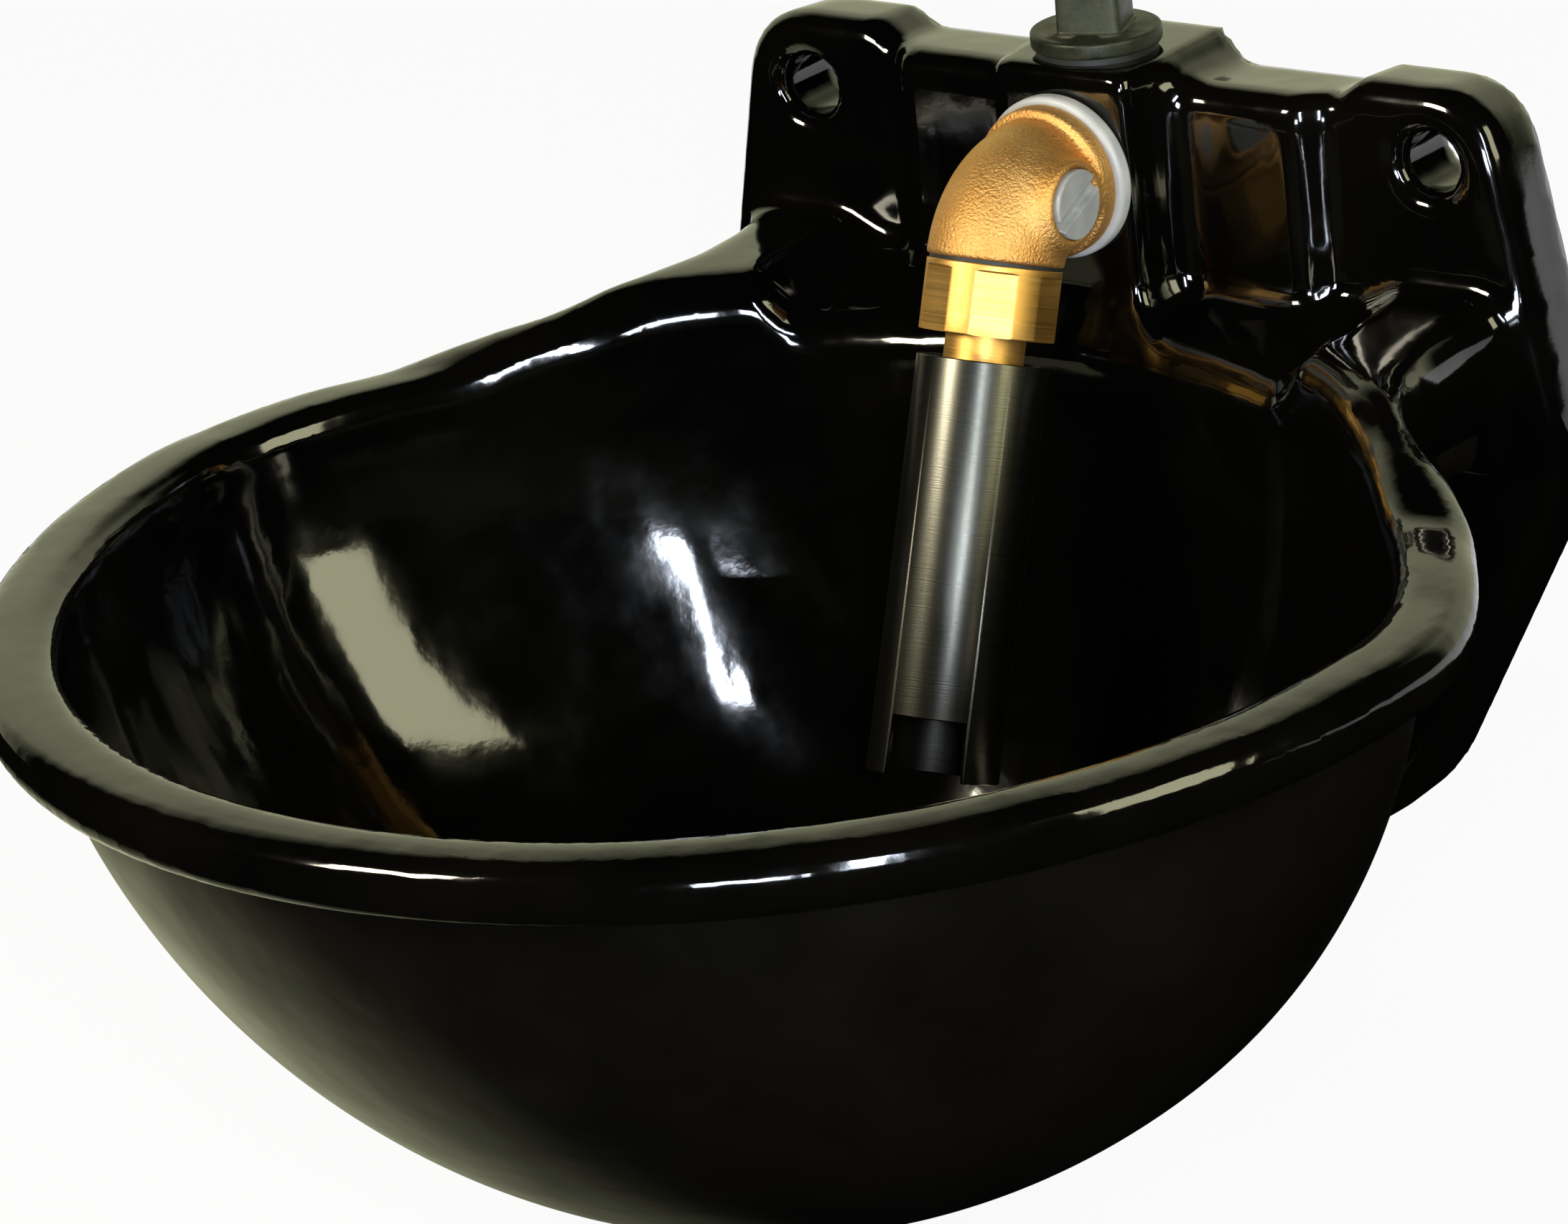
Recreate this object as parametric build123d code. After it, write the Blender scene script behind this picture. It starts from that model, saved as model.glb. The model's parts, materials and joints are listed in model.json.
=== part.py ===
"""Livestock drinking bowl: enamelled cast-iron bowl with a tilting tube valve.

Millimetres. The origin lies on the wall plane (y = 0), midway between the two wall bolts.
+X is to the right as the animal sees the bowl, +Z is up, and the bowl stands out towards -Y.
"""
import math
import os

from build123d import *

os.makedirs("parts", exist_ok=True)

# ------------------------------------------------------------------ bowl and rim
inner_side = 146.0       # half width of the rim's inner edge
inner_front = 139.8      # from the bowl's axis to the inner edge at the front
inner_back = 112.0       # the same at the flattened back
bowl_axis_y = -156.0     # bowl axis, in front of the wall plane
rim_z = -50.1            # rim's top on the bowl axis
rim_slope = 4.0          # degrees, front edge lower than the back
bead_side = 18.5         # rim's width at the sides and the back
bead_front = 16.5        # rim's width at the front
bead_height = 13.6
bead_top_radius = 4.0
bead_low_radius = 5.5
lip_radius = 2.2
bowl_wall = 7.0
bowl_floor = 7.0
bowl_depth = 136.0       # rim's top down to the underside of the foot
foot_margin = 5.5        # the outer profile would close to a point this far below the foot
profile_depth = bowl_depth + foot_margin
profile_power = 1.75     # 1 is a paraboloid, 2 an ellipsoid
back_fullness = 0.5      # the back wall stays steeper than the sides

# ------------------------------------------------------------------ back plate
bolt_spacing = 160.0
bolt_hole_d = 14.0
boss_d = 30.0
pad_front = 20.0         # bolt pads, in front of the wall plane
panel_front = 25.0       # raised panel between the pads
plate_skin = 6.0
flange_wall = 8.0
flange_draft = 4.0       # degrees, the plate widens towards its front face
pad_top = 15.2
panel_top = 11.2
panel_half = 50.0
panel_step = 6.0
notch_half = 55.0        # where the top edge starts to rise to the pads
notch_run = 9.0
top_half_width = 93.5
widest_half_width = 109.0
widest_z = -64.0
lower_half_width = 64.0
lower_z = -144.0
plate_bottom = -163.0
corner_radius = 20.0
edge_radius = 4.5

# ------------------------------------------------------------------ ledge: distance from the wall,
# then the height and half width of its outer crest and of the inner start of its slope
ledge_bottom = -64.0
crest_radius = 3.0
ledge_draft = 5.0
ledge_line = [
    (16.0, 98.0, -29.5, 60.0, -31.0),
    (32.0, 95.6, -31.2, 60.0, -36.0),
    (47.0, 96.0, -32.1, 60.0, -43.4),
    (61.0, 100.3, -33.0, 51.0, -48.0),
    (70.0, 105.0, -34.2, 56.0, -48.0),
    (77.0, 113.0, -38.6, 56.0, -48.5),
    (85.0, 123.0, -42.0, 60.0, -49.0),
    (97.0, 134.0, -43.2, 78.0, -49.5),
    (109.0, 143.0, -43.8, 97.0, -50.5),
    (122.0, 151.0, -45.2, 110.0, -52.0),
    (142.0, 157.0, -52.0, 125.0, -56.0),
]

# ------------------------------------------------------------------ water channel
channel_width = 34.8
channel_front = 38.0
channel_top = 18.0
channel_bore_d = 17.0
channel_bore_y = -19.5
port_thread_d = 20.96    # half-inch pipe thread, drawn plain at its major diameter
port_depth = 15.0
channel_flare = 10.0     # hollow radius where the channel meets the panel
flare_top = 13.9
inlet_boss_d = 34.0
inlet_boss_h = 6.0
port_y = -channel_front + 15.5   # the top port's axis; the bore runs straight below it

# ------------------------------------------------------------------ valve body
valve_z = -5.0           # axis of the front port
seal_ring_d = 35.5
seal_ring_t = 4.0
collar_d = 32.8
collar_t = 4.5
barrel_d = 29.0
elbow_bore_d = 17.0
elbow_straight = 6.6     # from the seal ring to the start of the bend
bend_radius = 17.0
leg_tilt = 20.0          # degrees the leg leans forward from the vertical
spigot_length = 13.0

screw_head_d = 15.1
screw_head_t = 2.2
screw_y = -56.5          # axis of the flow screw, across the bend
screw_z = -4.5
screw_shank_d = 8.4
screw_boss_d = 18.6
screw_boss_reach = 16.0  # from the middle plane to the boss's face
slot_width = 2.6
slot_depth = 1.4
oring_section = 1.4

nut_d = 28.6
nut_flats = 27.1
nut_height = 15.8
nut_collar_h = 1.4
nut_spigot_d = 22.6
nut_spigot_h = 8.5
nut_bore_d = 18.4
nut_mouth_d = 22.4
nut_seal_t = 0.8
ledge_depth = 9.5        # from the nut's top face down to the seat ledge
ledge_t = 1.5
ledge_hole_d = 9.6

ball_d = 13.0
ball_depth = 3.5         # ball centre below the nut's top face
seat_t = 3.0
seat_hole_top_d = 12.2
seat_hole_low_d = 8.4
neck_d = 5.2
stem_d = 17.0
stem_top_depth = 13.0
stem_visible = 5.2       # between the nut and the tube
cup_gap = 0.3
cup_wall = 1.0
cup_half_angle = 50.0
spring_wire = 1.0
spring_coils = 2.6
retainer_t = 1.5
running_gap = 0.05

tube_d = 28.0
tube_wall = 1.2
tube_length = 88.0
notch_width = 16.4
notch_height = 12.6
notch_turn = 25.0        # degrees from the front towards +X
bush_h = 6.0
bush_sink = 3.0
bush_slots = 4
stem_thread_d = 8.0
locknut_flats = 13.0
locknut_h = 5.0

# ------------------------------------------------------------------ top plug
plug_disc_d = 28.0
plug_disc_t = 3.6
plug_seal_t = 1.4
plug_head_side = 13.7
plug_head_h = 14.0
plug_head_turn = 21.0
plug_thread_h = 10.0

bolt_x = bolt_spacing / 2


# ------------------------------------------------------------------ helpers
def turned(*profile):
    """Solid of revolution about Z from a closed (radius, height) outline."""
    points = [(radius, 0, height) for radius, height in profile]
    return revolve(make_face(Polyline(*points, close=True)), Axis.Z)


def rod(diameter, low, high):
    """Plain round bar along Z between two heights."""
    return Pos(0, 0, (low + high) / 2) * Cylinder(diameter / 2, high - low)


def block(x, y, z):
    """Box given by its (low, high) extent along each axis."""
    size = [high - low for low, high in (x, y, z)]
    middle = [(high + low) / 2 for low, high in (x, y, z)]
    return Pos(*middle) * Box(*size)


def along_y(diameter, x, z, y_front, y_back):
    """Round bar along Y."""
    middle = Pos(x, (y_front + y_back) / 2, z)
    return middle * Rot(90, 0, 0) * Cylinder(diameter / 2, y_back - y_front)


def wall_sketch(sketch, y):
    """Puts a sketch drawn as (x, z) on the plane y, facing the wall."""
    return Plane(origin=(0, y, 0), x_dir=(1, 0, 0), z_dir=(0, -1, 0)) * sketch


# ------------------------------------------------------------------ bowl
def outline(side, front, back, z):
    """Plan of the bowl: half an ellipse in front, a flattened spline behind."""
    half_ellipse = EllipticalCenterArc((0, 0), side, front, start_angle=180, arc_size=180)
    shoulder = [(0.90, 0.30), (0.68, 0.67), (0.42, 0.92)]
    right = [(side * x, back * y) for x, y in shoulder]
    left = [(-x, y) for x, y in reversed(right)]
    rear = Spline((side, 0), *right, (0, back), *left, (-side, 0), tangents=((0, 1), (0, -1)))
    return make_face(Pos(0, 0, z) * Wire([*half_ellipse.edges(), *rear.edges()]))


def bowl_body(offset, start, end, close):
    """Loft of bowl plans between two depths, on the profile that closes at a given depth."""
    sections = []
    for step in range(8):
        depth = start + (end - start) * math.sin(math.pi / 2 * step / 7)
        scale = math.sqrt(1 - (depth / close) ** profile_power)
        sections.append(outline(
            (inner_side + offset) * scale,
            (inner_front + offset) * scale,
            (inner_back + offset) * scale**back_fullness,
            -depth,
        ))
    return loft(sections)


def prism(side_offset, front_offset, low, high):
    """Straight-walled prism on the rim's plan, between two heights."""
    plan = outline(inner_side + side_offset, inner_front + front_offset, inner_back + side_offset, low)
    return extrude(plan, high - low)


def rim_bead():
    """Thick rounded rim, still closed in the middle."""
    disc = prism(bead_side, bead_front, -bead_height, 0)
    disc = fillet(disc.faces().sort_by(Axis.Z)[-1].edges(), bead_top_radius)
    return fillet(disc.faces().sort_by(Axis.Z)[0].edges(), bead_low_radius)


def bowl_mouth():
    """Cutter that rounds the rim's inner edge."""
    rows = [(-0.2, -1.15), (0.29, -0.29), (1.15, 0.1)]
    return loft([outline(
        inner_side + out * lip_radius,
        inner_front + out * lip_radius,
        inner_back + out * lip_radius,
        up * lip_radius,
    ) for out, up in rows])


def to_rim(part):
    """Places a part drawn about the bowl's axis on the sloping rim plane."""
    return Pos(0, bowl_axis_y, rim_z) * Rot(rim_slope, 0, 0) * part


# ------------------------------------------------------------------ plate and ledge
def plate_outline():
    """Shield outline of the back plate, in (x, z), with the lowered middle of its top edge."""
    low, high = panel_top, pad_top
    notch = [(notch_half, low), (notch_half + notch_run, high)]
    right = [
        *notch,
        (top_half_width, high),
        (widest_half_width, widest_z),
        (lower_half_width, lower_z),
        (channel_width / 2 + 8, plate_bottom),
    ]
    left = [(-x, z) for x, z in reversed(right)]
    shield = make_face(Polyline(*right, *left, close=True))
    radii = {
        notch_half: 6.0,
        notch_half + notch_run: 6.0,
        top_half_width: corner_radius,
        widest_half_width: corner_radius * 1.5,
        lower_half_width: corner_radius * 1.5,
    }
    for half_width, radius in radii.items():
        shield = fillet([v for v in shield.vertices() if abs(abs(v.X) - half_width) < 0.01], radius)
    return shield


def back_plate():
    """Hollow-backed plate with a raised middle panel and two bolt bosses."""
    shield = plate_outline()
    plate = extrude(wall_sketch(shield, 0), pad_front, taper=-flange_draft)
    plate = fillet(plate.faces().sort_by(Axis.Y)[0].edges(), edge_radius)
    dip = panel_half + panel_step
    step = Polyline(
        (-dip, -pad_front + 1), (-dip, -pad_front), (-panel_half, -panel_front),
        (panel_half, -panel_front), (dip, -pad_front), (dip, -pad_front + 1), close=True)
    panel = extrude(Pos(0, 0, rim_z) * make_face(step), panel_top - rim_z)
    front_top = panel.edges().filter_by(Axis.X).group_by(Axis.Z)[-1].sort_by(Axis.Y)[0]
    plate += fillet(front_top, edge_radius - 0.5)
    pocket = offset(shield, -flange_wall, kind=Kind.INTERSECTION)
    keep = Rectangle(channel_width + 2 * flange_wall, 400)
    keep += [Pos(x, 0) * Circle(boss_d / 2) for x in (-bolt_x, bolt_x)]
    plate -= extrude(wall_sketch(pocket - keep, 0), pad_front - plate_skin)
    return plate


def ledge_section(forward, outer_x, outer_z, inner_x, inner_z):
    """Cross-section of the ledge: raised rounded shoulders either side of a lower middle."""
    low_x = outer_x - ledge_draft
    points = [
        (low_x, ledge_bottom), (outer_x, outer_z), (inner_x, inner_z),
        (-inner_x, inner_z), (-outer_x, outer_z), (-low_x, ledge_bottom),
    ]
    face = make_face(Polyline(*points, close=True))
    crests = face.vertices().sort_by(Axis.Y)[-2:]
    return wall_sketch(fillet(crests, crest_radius), -forward)


def ledge():
    """Ledge and shoulders that blend the rim into the plate."""
    return loft([ledge_section(*row) for row in ledge_line])


def channel():
    """Upright water channel with the valve face, its hollow flares, and the web down the bowl's back."""
    half = channel_width / 2
    body = block((-half, half), (-channel_front, 0), (plate_bottom, channel_top))
    upright = body.edges().filter_by(Axis.Z).sort_by(Axis.Y)[:2]
    body = fillet(upright, 3.0)
    body = fillet(body.faces().sort_by(Axis.Z)[-1].edges(), 2.5)
    reach = half + channel_flare
    flare = block((-reach, reach), (-panel_front - channel_flare, -1), (ledge_bottom, flare_top))
    for x in (-reach, reach):
        flare -= Pos(x, -panel_front - channel_flare, 0) * rod(2 * channel_flare, ledge_bottom, flare_top)
    body += flare
    body += Pos(0, port_y, 0) * rod(inlet_boss_d, plate_bottom - inlet_boss_h, plate_bottom + 4)
    web = Polyline(
        (-channel_front + 2, rim_z - 8), (-channel_front - 60, rim_z - 68),
        (-channel_front - 45, plate_bottom + 12), (-channel_front + 2, plate_bottom + 4),
        close=True)
    upright_plane = Plane(origin=(-channel_width / 4, 0, 0), x_dir=(0, 1, 0), z_dir=(1, 0, 0))
    return body + extrude(upright_plane * make_face(web), channel_width / 2)


def bowl_casting():
    """The one-piece casting."""
    bowl = bowl_body(bowl_wall, bead_height - 2, bowl_depth, profile_depth) + rim_bead()
    bowl -= bowl_mouth()
    bowl -= bowl_body(0, 0, bowl_depth - bowl_floor, profile_depth - bowl_floor)
    middle = bowl_body(bowl_wall / 2, 0, bowl_depth - bowl_floor / 2, profile_depth - bowl_floor / 2)
    core = to_rim(middle + prism(lip_radius + 1, lip_radius + 1, -3, 60))
    solid = to_rim(bowl) + (ledge() - core)
    solid += back_plate()
    solid += channel() - core
    for x in (-bolt_x, bolt_x):
        solid -= along_y(bolt_hole_d, x, 0, -pad_front - 10, 1)
        mouth = Rot(90, 0, 0) * Cone(bolt_hole_d / 2, bolt_hole_d / 2 + 1.5, 1.5)
        solid -= Pos(x, -pad_front + 0.75, 0) * mouth
    upright = Pos(0, port_y, 0)
    inlet_face = plate_bottom - inlet_boss_h
    solid -= upright * rod(channel_bore_d, inlet_face, channel_top)
    solid -= upright * rod(port_thread_d, channel_top - port_depth, channel_top)
    solid -= upright * rod(port_thread_d, inlet_face, inlet_face + port_depth + 3)
    solid -= along_y(port_thread_d, 0, valve_z, -channel_front, port_y)
    return solid


# ------------------------------------------------------------------ top plug
def top_plug():
    """Iron plug: square head on a round disc, with a threaded shank."""
    seat = channel_top + plug_seal_t
    disc = rod(plug_disc_d, seat, seat + plug_disc_t)
    disc = chamfer(disc.edges().sort_by(Axis.Z)[-1], 0.6)
    head = block(*[(-plug_head_side / 2, plug_head_side / 2)] * 2, (seat, seat + plug_disc_t + plug_head_h))
    head = chamfer(head.faces().sort_by(Axis.Z)[-1].edges(), 0.8)
    shank = rod(port_thread_d, seat - plug_thread_h, seat)
    return Pos(0, port_y, 0) * (disc + Rot(0, 0, plug_head_turn) * head + shank)


def top_plug_seal():
    """Flat ring under the plug's disc."""
    ring = rod(plug_disc_d - 2, channel_top, channel_top + plug_seal_t)
    return Pos(0, port_y, 0) * (ring - rod(port_thread_d, channel_top, channel_top + plug_seal_t))


# ------------------------------------------------------------------ valve body
ring_front = -channel_front - seal_ring_t
bend_start = ring_front - elbow_straight
bend_angle = 90 - leg_tilt
leg_y = bend_start - bend_radius * math.sin(math.radians(bend_angle))
leg_z = valve_z - bend_radius * (1 - math.cos(math.radians(bend_angle)))
tilt = math.radians(leg_tilt)
# Leg frame: origin at the nut's top face, +Z up along the leg, +X across.
leg = Plane(origin=(0, leg_y, leg_z), x_dir=(1, 0, 0), z_dir=(0, math.sin(tilt), math.cos(tilt)))


def bend_path(start_y):
    """Centreline of the elbow from start_y to the nut's top face."""
    straight = Line((0, start_y, valve_z), (0, bend_start, valve_z))
    half = math.radians(bend_angle / 2)
    middle = (0, bend_start - bend_radius * math.sin(half), valve_z - bend_radius * (1 - math.cos(half)))
    bend = ThreePointArc((0, bend_start, valve_z), middle, (0, leg_y, leg_z))
    return Wire([*straight.edges(), *bend.edges()])


def pipe(diameter, start_y):
    """Round bar along the elbow's centreline."""
    path = bend_path(start_y)
    return sweep(Plane(origin=path @ 0, z_dir=path % 0) * Circle(diameter / 2), path=path)


def across(diameter, low_x, high_x):
    """Round bar along X on the flow screw's axis."""
    middle = Pos((low_x + high_x) / 2, screw_y, screw_z)
    return middle * Rot(0, 90, 0) * Cylinder(diameter / 2, high_x - low_x)


def valve_elbow():
    """Brass elbow with its collar, threaded spigot and the flow screw's boss."""
    body = pipe(barrel_d, ring_front)
    body += across(screw_boss_d, 0, screw_boss_reach)
    body += along_y(collar_d, 0, valve_z, ring_front - collar_t, ring_front)
    body += along_y(port_thread_d, 0, valve_z, ring_front, ring_front + seal_ring_t + spigot_length)
    body -= pipe(elbow_bore_d, ring_front)
    body -= along_y(elbow_bore_d - 2, 0, valve_z, ring_front, ring_front + seal_ring_t + spigot_length)
    body -= leg * rod(nut_spigot_d, -1, nut_spigot_h + 0.4)
    body -= across(screw_shank_d + 2 * running_gap, -2, screw_boss_reach)
    body -= across(screw_head_d + 2 * running_gap, screw_boss_reach - screw_head_t / 2, screw_boss_reach + 1)
    return body


def elbow_seal_ring():
    """White plastic ring clamped between the elbow's collar and the casting."""
    ring = along_y(seal_ring_d, 0, valve_z, ring_front, -channel_front)
    ring = fillet(ring.edges(), 1.4)
    return ring - along_y(port_thread_d, 0, valve_z, ring_front - 1, -channel_front + 1)


def inlet_strainer():
    """Sieve cup pressed into the elbow's spigot."""
    outer = elbow_bore_d - 2
    length = 6.0
    end = ring_front + seal_ring_t + spigot_length
    cup = along_y(outer, 0, valve_z, end - length, end)
    cup -= along_y(outer - 2, 0, valve_z, end - length - 1, end - 1)
    holes = [along_y(1.6, 0, valve_z, end - 2, end + 1)]
    for angle in range(0, 360, 45):
        x, z = 4.2 * math.cos(math.radians(angle)), 4.2 * math.sin(math.radians(angle))
        holes.append(along_y(1.6, x, valve_z + z, end - 2, end + 1))
    return cup - holes


def flow_screw():
    """Slotted throttle screw: a round head, an O-ring groove and a half-cut shank."""
    face = screw_boss_reach + screw_head_t / 2
    body = across(screw_head_d, face - screw_head_t, face)
    body += across(screw_shank_d, 0, face)
    groove_x = screw_boss_reach - screw_head_t - 1.5
    groove = across(screw_shank_d + 2, groove_x - oring_section, groove_x)
    body -= groove - across(screw_shank_d - 2 * oring_section, groove_x - oring_section, groove_x)
    body += across(screw_shank_d - 1, -4, 0)
    window = block((-5, 3), (-20, 0), (-20, 20))
    body -= Pos(0, screw_y, screw_z) * window
    slot = block((face - slot_depth, face + 1), (-slot_width / 2, slot_width / 2), (-10, 10))
    return body - Pos(0, screw_y, screw_z) * Rot(-25, 0, 0) * slot


def flow_screw_oring():
    """Rubber ring in the flow screw's groove."""
    groove_x = screw_boss_reach - screw_head_t - 1.5
    ring = across(screw_shank_d, groove_x - oring_section, groove_x)
    return ring - across(screw_shank_d - 2 * oring_section, groove_x - oring_section, groove_x)


# ------------------------------------------------------------------ seat nut and its inside
ball_z = -ball_depth
ledge_top = -ledge_depth
ledge_low = ledge_top - ledge_t
seat_top = ledge_top + seat_t


def seat_nut():
    """Brass nut that carries the seat, with six milled flats below a thin collar."""
    body = rod(nut_d, -nut_height, -nut_seal_t)
    body = chamfer(body.edges().sort_by(Axis.Z)[0], 0.5)
    body += rod(nut_spigot_d, -1, nut_spigot_h)
    for turn in range(6):
        flat = block((nut_flats / 2, nut_d), (-nut_d, nut_d), (-nut_height - 1, -nut_seal_t - nut_collar_h))
        body -= Rot(0, 0, 60 * turn + 8) * flat
    body -= rod(nut_bore_d, ledge_top, nut_spigot_h + 1)
    body -= rod(ledge_hole_d, ledge_low, ledge_top)
    body -= rod(nut_mouth_d, -nut_height - 1, ledge_low)
    return body


def seat_nut_seal():
    """Thin flat ring between the elbow's end and the nut's shoulder."""
    return rod(nut_d - 1, -nut_seal_t, 0) - rod(nut_spigot_d, -nut_seal_t, 0)


def seat_washer():
    """Rubber seat with a conical mouth under the ball."""
    outer = nut_bore_d / 2
    return turned((seat_hole_low_d / 2, ledge_top), (outer, ledge_top), (outer, seat_top),
                  (seat_hole_top_d / 2, seat_top))


def valve_ball():
    """Ball head that closes the seat, flat underneath where the stem screws in."""
    ball = Pos(0, 0, ball_z) * Sphere(ball_d / 2)
    ball &= rod(ball_d + 1, ball_z - ball_d / 2 + 0.6, ball_z + ball_d)
    return ball - rod(neck_d, ball_z - ball_d, ball_z)


def valve_stem():
    """Turned brass stem: neck in the ball, wide guide below the seat, threaded end."""
    neck, wide, thread = neck_d / 2, stem_d / 2, stem_thread_d / 2
    foot = -nut_height - stem_visible - bush_sink
    return turned(
        (0, ball_z), (neck, ball_z), (neck, -stem_top_depth), (wide - 1, -stem_top_depth),
        (wide, -stem_top_depth - 1), (wide, foot), (thread, foot),
        (thread, foot - bush_h - locknut_h - 1), (0, foot - bush_h - locknut_h - 1))


def spring_cup():
    """Domed cup riding on top of the ball."""
    inner = ball_d / 2 + cup_gap
    outer = inner + cup_wall
    shell = Sphere(outer) - Sphere(inner)
    reach = outer * math.cos(math.radians(cup_half_angle))
    return Pos(0, 0, ball_z) * (shell & rod(2 * outer + 2, reach, outer + 1))


cup_outer = ball_d / 2 + cup_gap + cup_wall
coil_radius = 5.0
coil_low = ball_z + math.sqrt((cup_outer + spring_wire / 2 + 0.1) ** 2 - coil_radius**2)
retainer_low = nut_spigot_h - retainer_t
coil_high = retainer_low - spring_wire / 2 - 0.05


def return_spring():
    """Short coil spring between the retainer and the cup."""
    rise = coil_high - coil_low
    path = Helix(pitch=rise / spring_coils, height=rise, radius=coil_radius)
    wire = sweep(Plane(origin=path @ 0, z_dir=path % 0) * Circle(spring_wire / 2), path=path, is_frenet=True)
    return Pos(0, 0, coil_low) * wire


def spring_retainer():
    """Slotted ring snapped into the nut's spigot, above the spring."""
    ring = rod(nut_bore_d, retainer_low, nut_spigot_h) - rod(6, retainer_low, nut_spigot_h)
    for turn in range(3):
        slot = block((4.8, 7.6), (-1.6, 1.6), (retainer_low, nut_spigot_h))
        ring -= Rot(0, 0, 120 * turn) * slot
    return ring


# ------------------------------------------------------------------ tube
tube_top = -nut_height - stem_visible
bush_top = tube_top - bush_sink


def tube_bush():
    """Brass bush pressed into the tube, with slots for the water."""
    bush = rod(tube_d - 2 * tube_wall, bush_top - bush_h, bush_top) - rod(stem_thread_d, bush_top - bush_h, bush_top)
    for turn in range(bush_slots):
        slot = Pos(10.2, 0, bush_top - bush_h / 2) * Box(3.4, 7, bush_h)
        bush -= Rot(0, 0, 360 / bush_slots * turn) * slot
    return bush


def stem_locknut():
    """Hexagon nut that holds the bush on the stem."""
    top = bush_top - bush_h
    nut = Pos(0, 0, top - locknut_h) * extrude(RegularPolygon(locknut_flats / 2, 6, major_radius=False), locknut_h)
    return nut - rod(stem_thread_d, top - locknut_h, top)


def lever_tube():
    """Stainless tube that the animal pushes, notched at its lower front."""
    bottom = tube_top - tube_length
    tube = rod(tube_d, bottom, tube_top) - rod(tube_d - 2 * tube_wall, bottom, tube_top)
    half = notch_width / 2
    notch = block((-half, half), (-tube_d, 0), (bottom - 1, bottom + notch_height))
    return tube - Rot(0, 0, notch_turn) * notch


# ------------------------------------------------------------------ export
pieces = {
    "bowl_casting": bowl_casting(),
    "top_plug": top_plug(),
    "top_plug_seal": top_plug_seal(),
    "valve_elbow": valve_elbow(),
    "elbow_seal_ring": elbow_seal_ring(),
    "inlet_strainer": inlet_strainer(),
    "flow_screw": flow_screw(),
    "flow_screw_oring": flow_screw_oring(),
}
leg_pieces = {
    "seat_nut": seat_nut(),
    "seat_nut_seal": seat_nut_seal(),
    "seat_washer": seat_washer(),
    "valve_ball": valve_ball(),
    "valve_stem": valve_stem(),
    "spring_cup": spring_cup(),
    "return_spring": return_spring(),
    "spring_retainer": spring_retainer(),
    "tube_bush": tube_bush(),
    "stem_locknut": stem_locknut(),
    "lever_tube": lever_tube(),
}
pieces.update({name: leg * piece for name, piece in leg_pieces.items()})
for name, piece in pieces.items():
    export_step(piece, f"parts/{name}.step")
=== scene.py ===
"""Looks of the livestock drinking bowl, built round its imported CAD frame.

Metres, +Z up, wall plane at y = 0. Shapes are worked out in millimetres and scaled at the end.
A shape is the set of points where its level function is 0; the level is the distance in mm,
negative inside. f is the distance forward of the wall, v and w are the rim's own axes.
"""

import json
import math

import bpy
import numpy as np
from mathutils import Matrix, Vector


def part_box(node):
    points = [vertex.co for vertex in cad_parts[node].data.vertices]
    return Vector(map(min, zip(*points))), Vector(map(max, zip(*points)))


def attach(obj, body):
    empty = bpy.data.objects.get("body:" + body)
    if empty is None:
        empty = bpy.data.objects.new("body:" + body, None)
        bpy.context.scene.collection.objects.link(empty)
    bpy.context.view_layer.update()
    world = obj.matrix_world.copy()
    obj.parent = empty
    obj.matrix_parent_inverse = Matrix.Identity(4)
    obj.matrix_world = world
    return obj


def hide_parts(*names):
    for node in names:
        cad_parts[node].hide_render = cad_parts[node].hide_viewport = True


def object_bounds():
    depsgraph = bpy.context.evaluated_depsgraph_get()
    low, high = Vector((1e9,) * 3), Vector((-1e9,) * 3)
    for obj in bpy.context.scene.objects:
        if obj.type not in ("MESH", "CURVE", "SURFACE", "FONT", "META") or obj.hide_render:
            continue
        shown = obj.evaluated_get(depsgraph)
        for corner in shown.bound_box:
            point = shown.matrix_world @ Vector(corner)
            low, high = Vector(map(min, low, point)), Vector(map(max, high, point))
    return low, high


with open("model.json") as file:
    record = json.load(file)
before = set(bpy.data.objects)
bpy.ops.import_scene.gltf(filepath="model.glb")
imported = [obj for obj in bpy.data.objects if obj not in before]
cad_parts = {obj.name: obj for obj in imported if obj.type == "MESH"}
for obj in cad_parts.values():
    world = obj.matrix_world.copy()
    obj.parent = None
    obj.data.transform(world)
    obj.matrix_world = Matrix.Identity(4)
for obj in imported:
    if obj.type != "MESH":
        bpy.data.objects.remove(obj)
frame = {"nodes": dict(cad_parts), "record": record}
cad_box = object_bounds()
MM = 0.001

# ------------------------------------------------------------------ camera
AZIMUTH, ELEVATION, ROLL = math.radians(38.05), math.radians(18.99), math.radians(-5.28)
DISTANCE = 2500.0                 # mm, from the aim point along the view
AIM = Vector((0, -15, -17))       # mm
PIXELS_PER_MM = 6.564             # at the aim point, in the full-size frame
AIM_PIXEL = (1574.5, 273.5)
FRAME_SIZE = (2184, 1705)
SENSOR = 36.0                     # mm


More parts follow.
